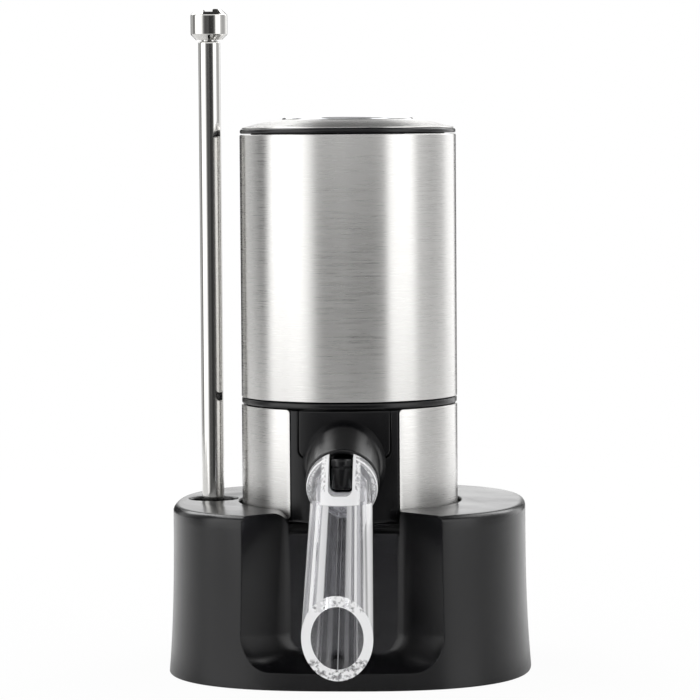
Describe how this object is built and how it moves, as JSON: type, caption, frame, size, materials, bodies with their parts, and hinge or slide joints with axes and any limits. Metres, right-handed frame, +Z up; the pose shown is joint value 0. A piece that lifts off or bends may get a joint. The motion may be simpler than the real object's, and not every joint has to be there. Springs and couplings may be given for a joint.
{
  "type": "liquor dispenser",
  "caption": "Battery pump dispenser for a bottle neck, with push button, clear spout and telescopic dip tube, standing in a plastic storage base.",
  "frame": {"origin": "on the dispenser's upright axis, at the underside of the base's non-slip mat", "axes": "+Z up along the dispenser's axis, -Y is the front where the spout points, the dip tube stands at -X"},
  "size_m": [0.0888, 0.1062, 0.1617],
  "materials": {
    "satin_black_abs": "satin moulded",
    "inner_black_abs": "matt moulded",
    "brushed_stainless_steel": "circumferentially brushed",
    "polished_stainless_steel": "polished",
    "chrome_plate": "mirror plated",
    "clear_acrylic": "clear polished",
    "grey_silicone": "matt",
    "translucent_silicone": "satin",
    "mat_rubber": "matt",
    "zinc_plated_steel": "plated",
    "spring_steel": "drawn",
    "brass": "stamped",
    "circuit_board": "lacquered",
    "component": "moulded",
    "battery_sleeve": "plain film over steel",
    "motor_steel": "plated",
    "pump_plastic": "moulded"
  },
  "bodies": {
    "base": {"base_shell": "satin_black_abs", "base_plate": "inner_black_abs", "non_slip_mat": "mat_rubber", "base_screw_1": "zinc_plated_steel", "base_screw_2": "zinc_plated_steel", "base_screw_3": "zinc_plated_steel", "base_screw_4": "zinc_plated_steel"},
    "dip_tube": {"outer_tube": "polished_stainless_steel", "tube_connector": "grey_silicone"},
    "sliding_tube": {"inner_tube": "polished_stainless_steel", "slide_bush": "grey_silicone", "inlet_head": "polished_stainless_steel"},
    "dispenser": {"lower_housing": "satin_black_abs", "lower_sleeve": "brushed_stainless_steel", "spout_hood": "satin_black_abs", "outlet_nozzle": "satin_black_abs", "stopper_core": "inner_black_abs", "stopper_nut": "inner_black_abs", "stopper_seal": "grey_silicone", "pump_deck": "inner_black_abs", "valve_plate": "pump_plastic", "pump_diaphragm": "grey_silicone", "pump_body": "pump_plastic", "motor_can": "motor_steel", "air_hose": "translucent_silicone", "liquid_hose": "translucent_silicone", "bayonet_collar": "satin_black_abs", "transfer_board": "circuit_board"},
    "motor_rotor": {"motor_shaft": "spring_steel"},
    "pour_spout": {"spout": "clear_acrylic"},
    "upper_unit": {"upper_sleeve": "brushed_stainless_steel", "upper_housing": "inner_black_abs", "contact_pin_1": "brass", "contact_pin_2": "brass", "battery_carrier": "inner_black_abs", "battery_1": "battery_sleeve", "battery_2": "battery_sleeve", "battery_3": "battery_sleeve", "battery_4": "battery_sleeve", "contact_top_1": "brass", "contact_top_2": "brass", "contact_low_bridge": "brass", "contact_low_end_1": "brass", "contact_low_end_2": "brass", "control_board": "circuit_board", "push_switch": "component", "control_chip": "component", "button_spring": "spring_steel", "cap_ring": "satin_black_abs", "top_cap": "brushed_stainless_steel"},
    "button": {"power_button": "chrome_plate"}
  },
  "joints": [
    {"name": "dispenser_lift", "type": "slide", "parent": "base", "child": "dispenser", "axis": [0, 0, 1], "range_m": [0, 0.04]},
    {"name": "dip_tube_lift", "type": "slide", "parent": "base", "child": "dip_tube", "axis": [0, 0, 1], "range_m": [0, 0.045]},
    {"name": "tube_extend", "type": "slide", "parent": "dip_tube", "child": "sliding_tube", "axis": [0, 0, 1], "range_m": [0, 0.12]},
    {"name": "motor_spin", "type": "hinge", "parent": "dispenser", "child": "motor_rotor", "pos_m": [0, 0.0121, 0.055], "axis": [0, 0, 1], "continuous": true},
    {"name": "spout_pull", "type": "slide", "parent": "dispenser", "child": "pour_spout", "axis": [0, -1, 0], "range_m": [0, 0.016]},
    {"name": "upper_twist", "type": "hinge", "parent": "dispenser", "child": "upper_unit", "pos_m": [0, 0, 0.07], "axis": [0, 0, 1], "range_deg": [0, 30]},
    {"name": "button_press", "type": "slide", "parent": "upper_unit", "child": "button", "axis": [0, 0, -1], "range_m": [0, 0.0012], "stiffness_N_per_m": 1200, "deforming": ["button_spring"]}
  ]
}
